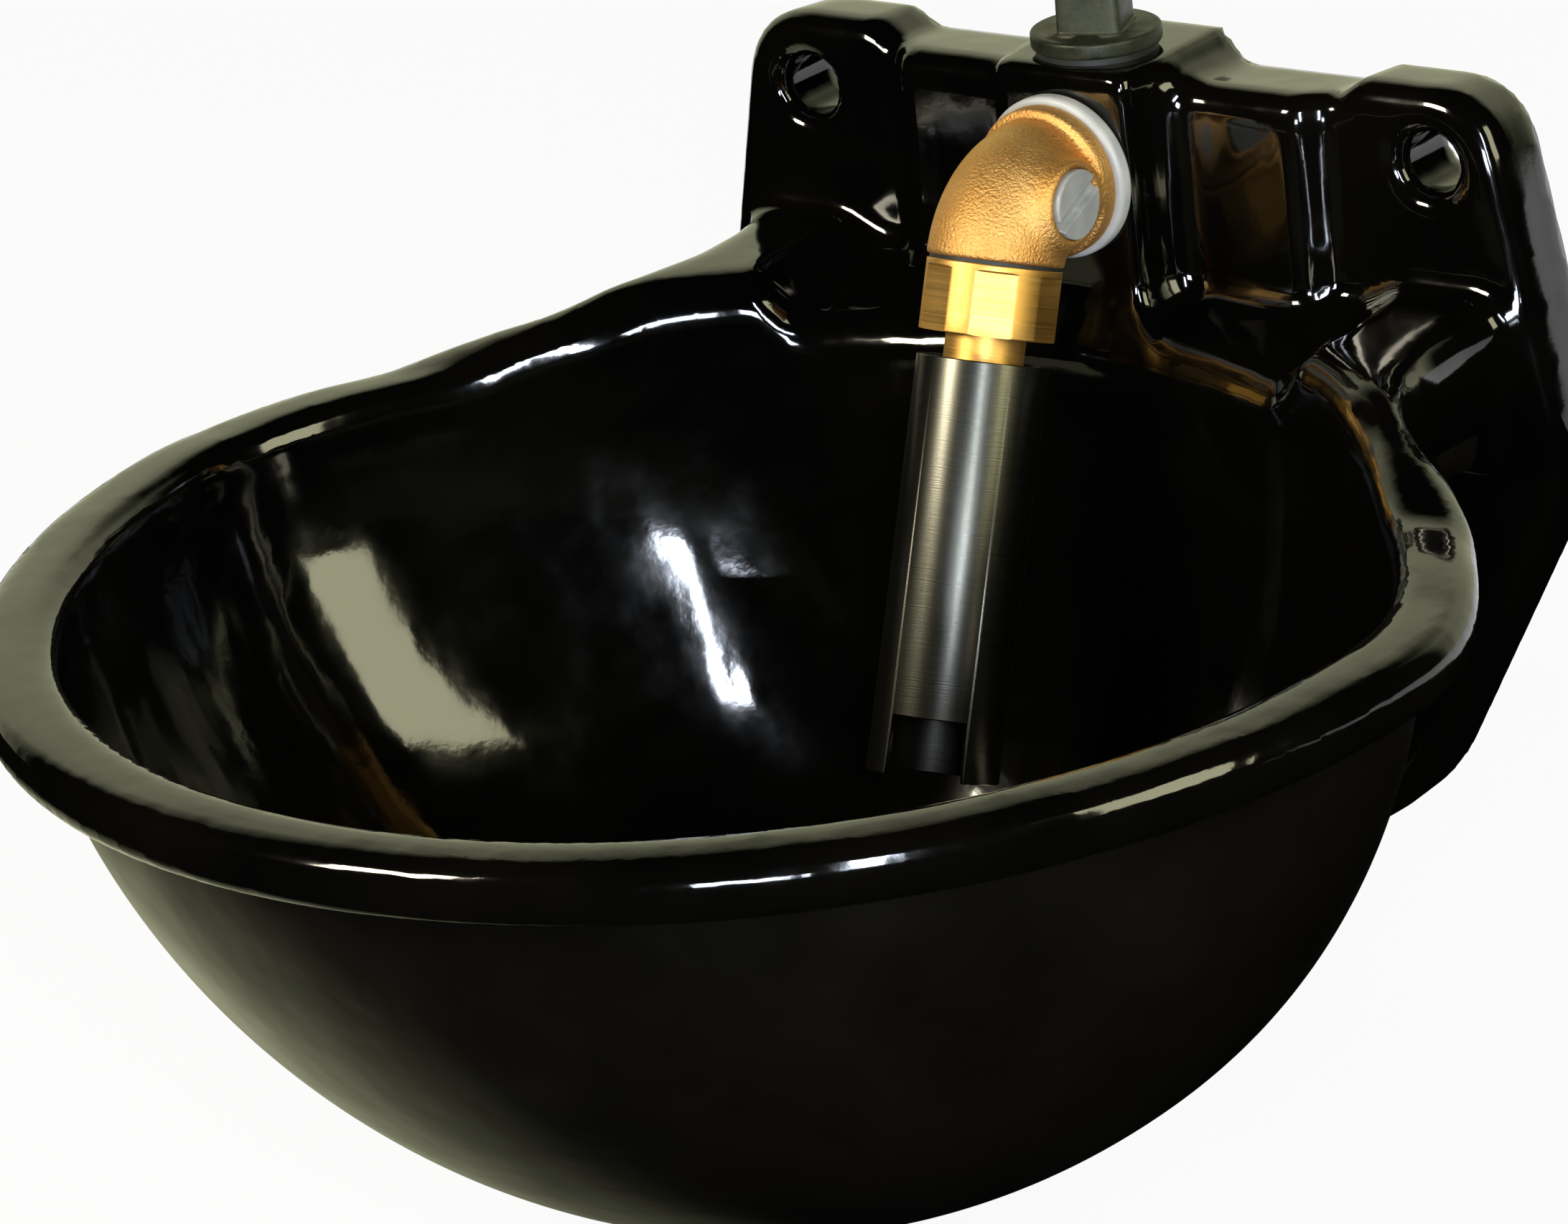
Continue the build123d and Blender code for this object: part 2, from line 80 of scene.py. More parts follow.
def make_camera():
    """Camera square to the view direction, rolled, with the aim point at its place in the frame."""
    back = Vector((
        math.sin(AZIMUTH) * math.cos(ELEVATION),
        -math.cos(AZIMUTH) * math.cos(ELEVATION),
        math.sin(ELEVATION),
    ))
    level = Vector((math.cos(AZIMUTH), math.sin(AZIMUTH), 0))
    upright = back.cross(level)
    right = level * math.cos(ROLL) + upright * math.sin(ROLL)
    up = upright * math.cos(ROLL) - level * math.sin(ROLL)
    place = AIM + back * DISTANCE
    place -= right * (AIM_PIXEL[0] - FRAME_SIZE[0] / 2) / PIXELS_PER_MM
    place -= up * (FRAME_SIZE[1] / 2 - AIM_PIXEL[1]) / PIXELS_PER_MM
    data = bpy.data.cameras.new("camera")
    data.sensor_fit = "HORIZONTAL"
    data.sensor_width = SENSOR
    data.lens = PIXELS_PER_MM * DISTANCE / FRAME_SIZE[0] * SENSOR
    data.clip_start = 0.1
    data.clip_end = 20
    camera = bpy.data.objects.new("camera", data)
    bpy.context.scene.collection.objects.link(camera)
    turned = Matrix((right, up, back)).transposed().to_4x4()
    camera.matrix_world = Matrix.Translation(place * MM) @ turned
    bpy.context.scene.camera = camera


make_camera()

# ------------------------------------------------------------------ sizes, mm (as the CAD has them)
BOWL_Y, RIM_Z, RIM_SLOPE = -156.0, -50.1, math.radians(4)    # bowl's axis, rim's height there
INNER = (146.0, 139.8, 112.0)     # bowl's half width, front reach and back reach inside
BEAD = (18.5, 16.5, 18.5)         # rim's width at the sides, the front and the back
BEAD_HALF = 6.8                   # half the rim's height
BEAD_TOP_EDGE, BEAD_LOW_EDGE = 4.6, 5.8
BEAD_CROWN = 1.3                  # the rim's outer edge is this much lower than its inner edge
RIM_LIFT, LIFT_START, LIFT_RUN = 1.2, -140.0, 28.0           # rise of the rim towards the back
WALL, BOWL_DEPTH, FOOT_MARGIN = 7.0, 136.0, 5.5
PROFILE_DEPTH = BOWL_DEPTH + FOOT_MARGIN
PROFILE_POWER = 1.75              # 1 is a paraboloid, 2 an ellipsoid
LIP = 6.0                         # rounding of the rim's inner edge

PAD_FRONT, PANEL_FRONT, PANEL_HALF, PANEL_RUN = 20.0, 25.0, 57.0, 8.0
PANEL_TOP, NOTCH_HALF, NOTCH_RUN = 11.2, 55.0, 9.0
SHIELD = [(93.5, 15.2), (109.0, -64.0), (64.0, -144.0), (25.4, -163.0)]   # half outline (x, z)
SHIELD_ROUND = (14, 8, 7)
PAD_TOP, PLATE_BOTTOM = SHIELD[0][1], SHIELD[-1][1]
FLANGE_DRAFT, FLANGE_WALL, POCKET_DEPTH = 0.07, 9.0, 14.0
BOLT_X, BOLT_RADIUS, BOLT_CHAMFER, BOSS_RADIUS = 80.0, 7.0, 2.2, 15.0
SPINE_HALF = 25.4                 # flat back of the channel

CHANNEL_FRONT, CHANNEL_HALF, CHANNEL_TOP = 38.0, 17.4, 18.0
PORT_Y, PORT_RADIUS, PORT_DEPTH, LOW_PORT_TOP = -22.5, 10.48, 15.0, -151.0
BORE_RADIUS = 8.5
INLET_RADIUS, INLET_TOP, INLET_FOOT = 17.0, -150.0, -169.0
WEB = [(-36.0, -58.1), (-98.0, -118.1), (-83.0, -151.0), (-36.0, -159.0)]   # (y, z)
WEB_HALF, WEB_START = 8.7, 20.0

LEDGE = np.array([                # forward, outer crest x and z, start of the slope x and z
    (16, 98, -29.5, 60, -31), (32, 95.6, -31.2, 60, -36), (47, 96, -32.1, 60, -43.4),
    (61, 100.3, -33, 51, -48), (70, 105, -34.2, 56, -48), (77, 113, -38.6, 56, -48.5),
    (85, 123, -42, 60, -49), (97, 134, -43.2, 78, -49.5), (109, 143, -43.8, 97, -50.5),
    (122, 151, -45.2, 110, -52), (142, 157, -52, 125, -56),
])
LEDGE_BOTTOM, LEDGE_BACK, LEDGE_END = -64.0, 12.0, 102.0
CREST_LIFT, CREST_SHARE = 2.4, 0.42    # the crest's rounding takes the lift off again
SINK, SINK_START, SINK_RUN = 18.0, 82.0, 36.0                # the ledge dips under the rim

VALVE_Z, SEAL_Y, COLLAR_Y = -5.0, -42.0, -46.5
BEND_Y, BEND_RADIUS, LEG_TILT = -48.6, 17.0, math.radians(20)
BEND_TURN = math.radians(90) - LEG_TILT
SCREW_Y, SCREW_Z = -56.5, -4.5
LEG_UP = np.array((0, math.sin(LEG_TILT), math.cos(LEG_TILT)))
LEG_ORIGIN = np.array((
    0,
    BEND_Y - BEND_RADIUS * math.sin(BEND_TURN),
    VALVE_Z - BEND_RADIUS * (1 - math.cos(BEND_TURN)),
))


# ------------------------------------------------------------------ implicit surfaces
def smooth_max(a, b, k):
    """Larger of two distances, rounded over k mm: max(a, b) + k / 4 (1 - |a - b| / k)^2."""
    h = np.maximum(k - np.abs(a - b), 0) / k
    return np.maximum(a, b) + h * h * k / 4


def smooth_min(a, b, k):
    """Smaller of two distances, filleted over k mm, as smooth_max upside down."""
    return -smooth_max(-a, -b, k)


def smooth_step(t):
    """0 below 0, 1 above 1, and t^2 (3 - 2 t) between them."""
    t = np.clip(t, 0, 1)
    return t * t * (3 - 2 * t)


def crossings(field):
    """Grid edges whose ends differ in sign, axis by axis.

    Yields (the four cells round each edge, the crossing's place in cells, whether to flip the
    quad); the crossing is where the line between the two values is 0.
    """
    for axis in range(3):
        order = (axis, (axis + 1) % 3, (axis + 2) % 3)
        turned = np.transpose(field, order)
        low, high = turned[:-1], turned[1:]
        i, j, k = np.nonzero((low < 0) != (high < 0))
        a, b = low[i, j, k], high[i, j, k]
        point = np.empty((len(i), 3))
        point[:, order[0]], point[:, order[1]], point[:, order[2]] = i + a / (a - b), j, k
        cells = np.empty((4, len(i), 3), int)
        for corner, (dj, dk) in enumerate(((-1, -1), (0, -1), (0, 0), (-1, 0))):
            cells[corner, :, order[0]] = i
            cells[corner, :, order[1]] = j + dj
            cells[corner, :, order[2]] = k + dk
        yield cells, point, a > 0


def polygonise(level, low, high, step):
    """Quads of the surface level(x, y, z) = 0 by surface nets.

    Each grid cell that the surface crosses gets one vertex, v = mean of the crossings on its edges,
    and v is then moved onto the surface with v -= level * g / |g|^2, g the gradient.
    """
    axes = [np.arange(a, b + step, step) for a, b in zip(low, high)]
    field = np.empty([len(a) for a in axes], np.float32)
    for i in range(0, len(axes[0]), 12):
        field[i:i + 12] = level(*np.meshgrid(axes[0][i:i + 12], axes[1], axes[2], indexing="ij"))
    shape = np.array(field.shape)
    ids, points, quads = [], [], []
    for cells, point, flip in crossings(field):
        flat = np.ravel_multi_index((cells[..., 0], cells[..., 1], cells[..., 2]), shape)
        ids.append(flat.ravel())
        points.append(np.tile(point, (4, 1)))
        quad = flat.T.copy()
        quad[flip] = quad[flip][:, ::-1]
        quads.append(quad)
    used, inverse = np.unique(np.concatenate(ids), return_inverse=True)
    points = np.concatenate(points)
    count = np.bincount(inverse)
    verts = np.stack([np.bincount(inverse, points[:, n]) / count for n in range(3)], 1)
    verts = np.array(low) + verts * step
    for _ in range(3):
        value = level(*verts.T)
        grad = np.empty_like(verts)
        for n in range(3):
            shift = np.zeros(3)
            shift[n] = 0.25 * step
            grad[:, n] = (level(*(verts + shift).T) - level(*(verts - shift).T)) / (0.5 * step)
        move = value[:, None] * grad / np.maximum((grad**2).sum(1), 0.2)[:, None]
        verts -= np.clip(move, -0.4 * step, 0.4 * step)
    return verts, np.searchsorted(used, np.concatenate(quads))


def add_mesh(name, verts, faces, material, body, nodes=()):
    """New piece from vertices in mm and quads; it rides on a body and may stand for CAD nodes."""
    mesh = bpy.data.meshes.new(name)
    mesh.vertices.add(len(verts))
    mesh.vertices.foreach_set("co", (np.asarray(verts) * MM).astype(np.float32).ravel())
    faces = np.asarray(faces, int)
    mesh.loops.add(faces.size)
    mesh.loops.foreach_set("vertex_index", faces.ravel())
    mesh.polygons.add(len(faces))
    mesh.polygons.foreach_set("loop_start", np.arange(0, faces.size, faces.shape[1]))
    mesh.update(calc_edges=True)
    mesh.validate()
    mesh.shade_smooth()
    mesh.materials.append(material)
    obj = bpy.data.objects.new(name, mesh)
    bpy.context.scene.collection.objects.link(obj)
    if nodes:
        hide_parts(*nodes)
    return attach(obj, body)


# ------------------------------------------------------------------ casting
# Back half of the bowl's plan: its radius, as a share of an ellipse's, is the sum of
# BACK[n] cos(2 n angle). It is flatter than the ellipse and convex all the way round.
BACK = (0.98006, -0.01491, 0.02134, 0.01351)


def plan(x, v, side, front, back):
    """(reach of the plan curve along the ray to (x, v), distance of (x, v) from the axis).

    The front half is an ellipse of half axes side and front, the back half one of side and back
    whose radius is scaled by the sum above.
    """
    xn = x / side
    vn = np.where(v < 0, v / front, v / back)
    angle = np.arctan2(np.maximum(vn, 0), np.abs(xn) + 1e-9)
    radius = sum(a * np.cos(2 * n * angle) for n, a in enumerate(BACK))
    radius = np.where(v < 0, 1.0, radius)
    rho = np.maximum(np.hypot(xn, vn) / radius, 1e-3)
    away = np.hypot(x, v)
    return away / rho, away


def bowl_level(x, v, w, offset, close):
    """Distance to the bowl's side: the rim's plan offset outwards and scaled by k with the depth.

    k = sqrt(1 - (depth / close)^power), and only sqrt(k) towards the back, so that wall is steeper.
    """
    depth = np.clip(-w, 0, close * 0.985)
    k = np.sqrt(1 - (depth / close)**PROFILE_POWER)
    fall = PROFILE_POWER / 2 * (depth / close)**(PROFILE_POWER - 1) / close / k**2
    side, front, back = (s + offset for s in INNER)
    reach, away = plan(x, v, side * k, front * k, back * np.sqrt(k))
    return (away - reach) / np.sqrt(1 + (reach * fall)**2)


def bead_level(x, v, w):
    """Distance to the thick rim: a flat disc with round edges, crowned towards its inner edge."""
    reach, away = plan(x, v, *(inner + width for inner, width in zip(INNER, BEAD)))
    r = np.where(w > -BEAD_HALF, BEAD_TOP_EDGE, BEAD_LOW_EDGE)
    w = w + BEAD_CROWN * np.clip((away - reach + BEAD[0]) / BEAD[0], 0, 1)**2
    a, b = away - reach + r, np.abs(w + BEAD_HALF) - BEAD_HALF + r
    return np.minimum(np.maximum(a, b), 0) + np.hypot(np.maximum(a, 0), np.maximum(b, 0)) - r


def half_plane(px, pz, x1, z1, x2, z2):
    """Signed distance to the line 1-2, positive on its left."""
    length = math.hypot(x2 - x1, z2 - z1)
    return ((px - x1) * -(z2 - z1) + (pz - z1) * (x2 - x1)) / length


def shield_level(x, z):
    """Distance to the back plate's outline: half planes through its corners, rounded together."""
    a = np.abs(x)
    flat = z - PANEL_TOP - (PAD_TOP - PANEL_TOP) * smooth_step((a - NOTCH_HALF) / NOTCH_RUN)
    for upper, lower, radius in zip(SHIELD, SHIELD[1:], SHIELD_ROUND):
        flat = smooth_max(flat, half_plane(a, z, *upper, *lower), radius)
    return smooth_max(flat, PLATE_BOTTOM - z, 4)


def plate_level(x, f, z):
    """Distance to the plate: the drafted outline up to its stepped front, less the back pockets."""
    a = np.abs(x)
    flat = shield_level(x, z)
    step = (PANEL_FRONT - PAD_FRONT) * smooth_step((PANEL_HALF - a) / PANEL_RUN)
    plate = smooth_max(flat - FLANGE_DRAFT * f, f - PAD_FRONT - step, 6.5)
    boss = np.hypot(a - BOLT_X, z) - BOSS_RADIUS
    keep = np.minimum(a - SPINE_HALF, boss)
    pocket = smooth_max(smooth_max(flat + FLANGE_WALL, f - POCKET_DEPTH, 6), -keep, 5)
    return smooth_max(smooth_max(plate, -pocket, 5), -f, 3)


def ledge_rows():
    """The ledge's rows, resampled every 2 mm and evened out over 10 mm."""
    forward = np.arange(0, 160, 2.0)
    kernel = np.hanning(7)[1:-1]
    kernel /= kernel.sum()
    rows = []
    for n in range(1, 5):
        row = np.interp(forward, LEDGE[:, 0], LEDGE[:, n])
        rows.append(np.convolve(np.pad(row, 2, mode="edge"), kernel, mode="valid"))
    return forward, rows


LEDGE_FORWARD, LEDGE_ROWS = ledge_rows()


def ledge_level(x, f, z):
    """Distance to the ledge: flat shoulders that fall over a smooth step to a lower middle."""
    outer_x, outer_z, inner_x, inner_z = (np.interp(f, LEDGE_FORWARD, row) for row in LEDGE_ROWS)
    a = np.abs(x)
    t = np.clip((a - inner_x) / (outer_x - inner_x), 0, 1.3)
    height = inner_z + (outer_z + CREST_LIFT - inner_z) * smooth_step(t / CREST_SHARE)
    height = height - SINK * smooth_step((f - SINK_START) / SINK_RUN)
    side = a - outer_x + 5 * np.clip((outer_z - z) / 30, 0, 1)
    body = smooth_max(z - height, side - 0.5, 10)
    body = smooth_max(body, LEDGE_BOTTOM - z, 6)
    return smooth_max(np.maximum(body, LEDGE_BACK - f), f - LEDGE_END, 12)


def web_level(x, f, z):
    """Distance to the web down the bowl's back: half planes through the corners of its side."""
    web = np.abs(x) - WEB_HALF
    for upper, lower in zip(WEB, WEB[1:]):
        web = smooth_max(web, half_plane(-f, z, *lower, *upper), 4)
    return np.maximum(web, WEB_START - f)


def channel_level(x, f, z):
    """Distance to the water channel, a square column, and to its round inlet boss below."""
    column = smooth_max(np.abs(x) - CHANNEL_HALF, f - CHANNEL_FRONT, 3.6)
    column = smooth_max(column, z - CHANNEL_TOP, 3.0)
    column = np.maximum(column, np.maximum(PLATE_BOTTOM - z, -f))
    boss = np.maximum(INLET_FOOT - z, z - INLET_TOP)
    boss = np.maximum(np.hypot(x, f + PORT_Y) - INLET_RADIUS, boss)
    return smooth_min(column, boss, 2)


def bores_level(x, f, z):
    """Distance to the bolt holes, the ports and the water bore, negative inside them."""
    chamfer = np.clip(f - PAD_FRONT + BOLT_CHAMFER, 0, 3)
    bolt = np.hypot(np.abs(x) - BOLT_X, z) - BOLT_RADIUS - chamfer
    up = np.hypot(x, f + PORT_Y)
    top_port = np.maximum(up - PORT_RADIUS, CHANNEL_TOP - PORT_DEPTH - z)
    low_port = np.maximum(up - PORT_RADIUS, z - LOW_PORT_TOP)
    front_port = np.maximum(np.hypot(x, z - VALVE_Z) - PORT_RADIUS, -PORT_Y - f)
    ports = np.minimum(np.minimum(top_port, low_port), front_port)
    return np.minimum(np.minimum(bolt, up - BORE_RADIUS), ports)


def rim_axes(y, z):
    """(v, w) of a point: back along the sloping rim from the bowl's axis, and up from its plane."""
    back, up = y - BOWL_Y, z - RIM_Z
    v = back * math.cos(RIM_SLOPE) + up * math.sin(RIM_SLOPE)
    return v, up * math.cos(RIM_SLOPE) - back * math.sin(RIM_SLOPE)


def casting_level(x, y, z):
    """Distance to the casting: (wall + bead + ledge + web - hollow) + plate + channel - bores."""
    v, w = rim_axes(y, z)
    outer = smooth_max(bowl_level(x, v, w, WALL, PROFILE_DEPTH), -w - BOWL_DEPTH, 5)
    outer = np.maximum(outer, w + 6)
    hollow = smooth_max(bowl_level(x, v, w, 0, PROFILE_DEPTH - WALL), -w - BOWL_DEPTH + WALL, 16)
    lift = RIM_LIFT * smooth_step((y - LIFT_START) / LIFT_RUN)
    solid = smooth_min(outer, bead_level(x, v, w - lift), 2.5)
    solid = smooth_min(solid, ledge_level(x, -y, z), 9)
    solid = smooth_min(solid, web_level(x, -y, z), 8)
    lip = LIP + 4 * smooth_step((v - 55) / 40) * smooth_step((w + 10) / 12)
    solid = smooth_max(solid, -hollow, lip)
    solid = smooth_min(solid, plate_level(x, -y, z), 5)
    solid = smooth_min(solid, channel_level(x, -y, z), 10)
    return smooth_max(solid, -bores_level(x, -y, z), 1.2)


# ------------------------------------------------------------------ materials
NOISE_SPAN = {"From Min": 0.3, "From Max": 0.7}    # most of a noise lies between these


def linear(code):
    """sRGB hex code to a linear RGBA colour."""
    parts = [int(code[n:n + 2], 16) / 255 for n in (0, 2, 4)]
    return (*[p / 12.92 if p <= 0.04045 else ((p + 0.055) / 1.055)**2.4 for p in parts], 1)


def lumps(size):
    """Noise scale for lumps of this size in mm: the whole number of them in a metre."""
    return round(1000 / size)


def fill(tree, item, inputs):
    """Sets a node's sockets: a value is written, another node's output is linked."""
    for key, value in inputs.items():
        if isinstance(value, bpy.types.NodeSocket):
            tree.links.new(value, item.inputs[key])
        else:
            item.inputs[key].default_value = value


def add(tree, kind, inputs, output=0, **settings):
    """Adds a shader node with its settings and links, and returns one of its outputs."""
    item = tree.nodes.new("ShaderNode" + kind)
    for key, value in settings.items():
        setattr(item, key, value)
    fill(tree, item, inputs)
    return item.outputs[output]


def new_material(name):
    """(material, its tree, its shader, the piece's own coordinates)."""
    made = bpy.data.materials.new(name)
    made.use_nodes = True
    tree = made.node_tree
    return made, tree, tree.nodes["Principled BSDF"], add(tree, "TexCoord", {}, "Object")


def gloss_enamel():
    """Vitreous enamel, dipped and fired: wet gloss, slow waves, sags down it, orange peel."""
    made, tree, shader, place = new_material("black_vitreous_enamel")
    patches = add(tree, "TexNoise", {
        "Vector": place, "Scale": lumps(45), "Detail": 4, "Roughness": 0.6})
    shade = add(tree, "MapRange", {"Value": patches, "From Min": 0.35, "From Max": 0.75})
    haze = add(tree, "TexNoise", {"Vector": place, "Scale": lumps(11.1), "Detail": 4})
    waves = add(tree, "TexNoise", {"Vector": place, "Scale": lumps(26), "Detail": 1.5})
    tall = add(tree, "Mapping", {"Vector": place, "Scale": (1, 1, 0.15)})
    sags = add(tree, "TexNoise", {"Vector": tall, "Scale": lumps(20)})
    peel = add(tree, "TexNoise", {"Vector": place, "Scale": lumps(2.38)})
    relief = add(tree, "Bump", {"Height": waves, "Strength": 0.12, "Distance": 0.003})
    relief = add(tree, "Bump", {
        "Height": sags, "Strength": 0.12, "Distance": 0.003, "Normal": relief})
    relief = add(tree, "Bump", {
        "Height": peel, "Strength": 0.06, "Distance": 0.0002, "Normal": relief})
    fill(tree, shader, {
        "Base Color": add(tree, "Mix", {0: shade, 6: linear("020202"), 7: linear("070604")}, 2,
                          data_type="RGBA"),
        "Roughness": add(tree, "MapRange", {
            "Value": haze, **NOISE_SPAN, "To Min": 0.05, "To Max": 0.11}),
        "IOR": 1.55,
        "Normal": relief,
    })
    return made


def dull_enamel():
    """Thin enamel ground coat, fired without a top coat: semi-matt, browner, mottled and grainy."""
    made, tree, shader, place = new_material("black_ground_coat_enamel")
    patches = add(tree, "TexNoise", {
        "Vector": place, "Scale": lumps(62), "Detail": 5, "Roughness": 0.6})
    shade = add(tree, "MapRange", {"Value": patches, **NOISE_SPAN})
    haze = add(tree, "TexNoise", {"Vector": place, "Scale": lumps(33), "Detail": 5})
    waves = add(tree, "TexNoise", {"Vector": place, "Scale": lumps(22)})
    grain = add(tree, "TexNoise", {"Vector": place, "Scale": lumps(1.429), "Detail": 3})
    relief = add(tree, "Bump", {"Height": waves, "Strength": 0.35, "Distance": 0.0015})
    relief = add(tree, "Bump", {
        "Height": grain, "Strength": 0.12, "Distance": 0.0002, "Normal": relief})
    fill(tree, shader, {
        "Base Color": add(tree, "Mix", {0: shade, 6: linear("050403"), 7: linear("0E0B06")}, 2,
                          data_type="RGBA"),
        "Roughness": add(tree, "MapRange", {
            "Value": haze, **NOISE_SPAN, "To Min": 0.26, "To Max": 0.36}),
        "Normal": relief,
    })
    return made


def cast_brass():
    """Sand-cast brass, bead-blasted: soft broad shine, fine grain, deeper orange in its hollows."""
    made, tree, shader, place = new_material("cast_brass")
    patches = add(tree, "TexNoise", {
        "Vector": place, "Scale": lumps(16.7), "Detail": 5, "Roughness": 0.65})
    shade = add(tree, "MapRange", {"Value": patches, "From Min": 0.3, "From Max": 0.72})
    grain = add(tree, "TexNoise", {
        "Vector": place, "Scale": lumps(0.6667), "Detail": 3, "Roughness": 0.6})
    relief = add(tree, "Bump", {"Height": patches, "Strength": 0.06, "Distance": 0.0006})
    relief = add(tree, "Bump", {
        "Height": grain, "Strength": 0.8, "Distance": 0.00045, "Normal": relief})
    fill(tree, shader, {
        "Base Color": add(tree, "Mix", {0: shade, 6: linear("DDA053"), 7: linear("F0C079")}, 2,
                          data_type="RGBA"),
        "Roughness": add(tree, "MapRange", {
            "Value": grain, **NOISE_SPAN, "To Min": 0.46, "To Max": 0.62}),
        "Metallic": 1.0,
        "Normal": relief,
    })
    return made


def machined_brass():
    """Turned and milled brass: bright yellow, its shine drawn out by tool lines round the leg."""
    made, tree, shader, place = new_material("machined_brass")
    leg = add(tree, "Mapping", {"Vector": place, "Rotation": (LEG_TILT, 0, 0)})
    # tool lines 0.4 mm apart, coarser than the real feed so that they show
    rings = add(tree, "Mapping", {"Vector": leg, "Scale": (lumps(50), lumps(50), lumps(0.3846))})
    lines = add(tree, "TexNoise", {"Vector": rings, "Scale": 1, "Detail": 3, "Roughness": 0.6})
    soft = add(tree, "TexNoise", {"Vector": place, "Scale": lumps(14.3), "Detail": 3})
    shade = add(tree, "MapRange", {"Value": soft, **NOISE_SPAN})
    fill(tree, shader, {
        "Base Color": add(tree, "Mix", {0: shade, 6: linear("DDA650"), 7: linear("F0C070")}, 2,
                          data_type="RGBA"),
        "Roughness": add(tree, "MapRange", {
            "Value": lines, **NOISE_SPAN, "To Min": 0.4, "To Max": 0.52}),
        "Metallic": 1.0,
        "Normal": add(tree, "Bump", {"Height": lines, "Strength": 0.25, "Distance": 0.00005}),
    })
    return made


def brushed_steel():
    """Ground stainless tube: grey, with fine lines round it and faint handling marks along it."""
    made, tree, shader, place = new_material("brushed_stainless")
    leg = add(tree, "Mapping", {"Vector": place, "Rotation": (LEG_TILT, 0, 0)})
    # grinding lines 0.3 mm apart, coarser than the real grit so that they show
    rings = add(tree, "Mapping", {
        "Vector": leg, "Scale": (lumps(33), lumps(33), lumps(0.3125))})
    lines = add(tree, "TexNoise", {"Vector": rings, "Scale": 1, "Detail": 3, "Roughness": 0.6})
    along = add(tree, "Mapping", {"Vector": leg, "Scale": (lumps(3.85), lumps(3.85), lumps(55))})
    marks = add(tree, "TexNoise", {"Vector": along, "Scale": 1, "Detail": 3, "Roughness": 0.6})
    shade = add(tree, "MapRange", {"Value": marks, **NOISE_SPAN})
    fill(tree, shader, {
        "Base Color": add(tree, "Mix", {0: shade, 6: linear("4A4942"), 7: linear("5D5C56")}, 2,
                          data_type="RGBA"),
        "Roughness": add(tree, "MapRange", {
            "Value": lines, **NOISE_SPAN, "To Min": 0.27, "To Max": 0.32}),
        "Metallic": 1.0,
        "Normal": add(tree, "Bump", {"Height": lines, "Strength": 0.3, "Distance": 0.00006}),
    })
    return made


def nylon(name, first, second):
    """Moulded nylon, milky: light goes 3 mm into it, and its soft skin has small flow marks."""
    made, tree, shader, place = new_material(name)
    flow = add(tree, "TexNoise", {"Vector": place, "Scale": lumps(5.56), "Detail": 3})
    shade = add(tree, "MapRange", {"Value": flow, **NOISE_SPAN})
    fill(tree, shader, {
        "Base Color": add(tree, "Mix", {0: shade, 6: linear(first), 7: linear(second)}, 2,
                          data_type="RGBA"),
        "Roughness": add(tree, "MapRange", {
            "Value": flow, **NOISE_SPAN, "To Min": 0.32, "To Max": 0.45}),
        "Subsurface Weight": 0.15,
        "Subsurface Scale": 0.003,
        "Normal": add(tree, "Bump", {"Height": flow, "Strength": 0.15, "Distance": 0.0003}),
    })
    return made


def iron():
    """Blackened malleable iron: dull olive-grey skin, paler and smoother where it is worn."""
    made, tree, shader, place = new_material("blackened_iron")
    patches = add(tree, "TexNoise", {
        "Vector": place, "Scale": lumps(8.3), "Detail": 5, "Roughness": 0.65})
    shade = add(tree, "MapRange", {"Value": patches, **NOISE_SPAN})
    grain = add(tree, "TexNoise", {"Vector": place, "Scale": lumps(0.769)})
    relief = add(tree, "Bump", {"Height": patches, "Strength": 0.3, "Distance": 0.0006})
    relief = add(tree, "Bump", {
        "Height": grain, "Strength": 0.2, "Distance": 0.0002, "Normal": relief})
    fill(tree, shader, {
        "Base Color": add(tree, "Mix", {0: shade, 6: linear("23251B"), 7: linear("3F4232")}, 2,
                          data_type="RGBA"),
        "Roughness": add(tree, "MapRange", {
            "Value": patches, **NOISE_SPAN, "To Min": 0.38, "To Max": 0.6}),
        "Metallic": 0.6,
        "Normal": relief,
    })
    return made


def inner_part(name, first, second, roughness, size=5.0, metallic=0.0):
    """Rubber, spring or plastic inside the valve: two close shades, broken gloss, a fine grain."""
    made, tree, shader, place = new_material(name)
    mottle = add(tree, "TexNoise", {"Vector": place, "Scale": lumps(size), "Detail": 4})
    shade = add(tree, "MapRange", {"Value": mottle, **NOISE_SPAN})
    gloss = {**NOISE_SPAN, "To Min": roughness, "To Max": roughness + 0.12}
    grain = add(tree, "TexNoise", {"Vector": place, "Scale": lumps(size / 6)})
    fill(tree, shader, {
        "Base Color": add(tree, "Mix", {0: shade, 6: linear(first), 7: linear(second)}, 2,
                          data_type="RGBA"),
        "Roughness": add(tree, "MapRange", {"Value": mottle, **gloss}),
        "Metallic": metallic,
        "Normal": add(tree, "Bump", {"Height": grain, "Strength": 0.2, "Distance": 0.0001}),
    })
    return made


MATERIALS = {
    "enamelled_casting": gloss_enamel(),
    "dull_enamel": dull_enamel(),
    "iron_plug": iron(),
    "black_rubber": inner_part("black_rubber", "151716", "222523", 0.5),
    "white_plastic": nylon("white_nylon", "A4A6A8", "B4B5B2"),
    # The flow screw is the ring's white nylon; its two darker greys are painted shade, not the
    # nylon's own colour.
    "screw_plastic": nylon("white_nylon_painted_shade", "858688", "989896"),
    "cast_brass": cast_brass(),
    "machined_brass": machined_brass(),
    "stainless_tube": brushed_steel(),
    "spring_steel": inner_part("spring_steel", "8F8E88", "A5A49C", 0.22, 3.333, 1.0),
    "grey_plastic": inner_part("grey_plastic", "5B5E5E", "6C6F6E", 0.4),
}
for row in frame["record"]["subparts"]:
    node = frame["nodes"][row["node"]]
    node.data.materials.clear()
    node.data.materials.append(MATERIALS[row["material_slot"]])


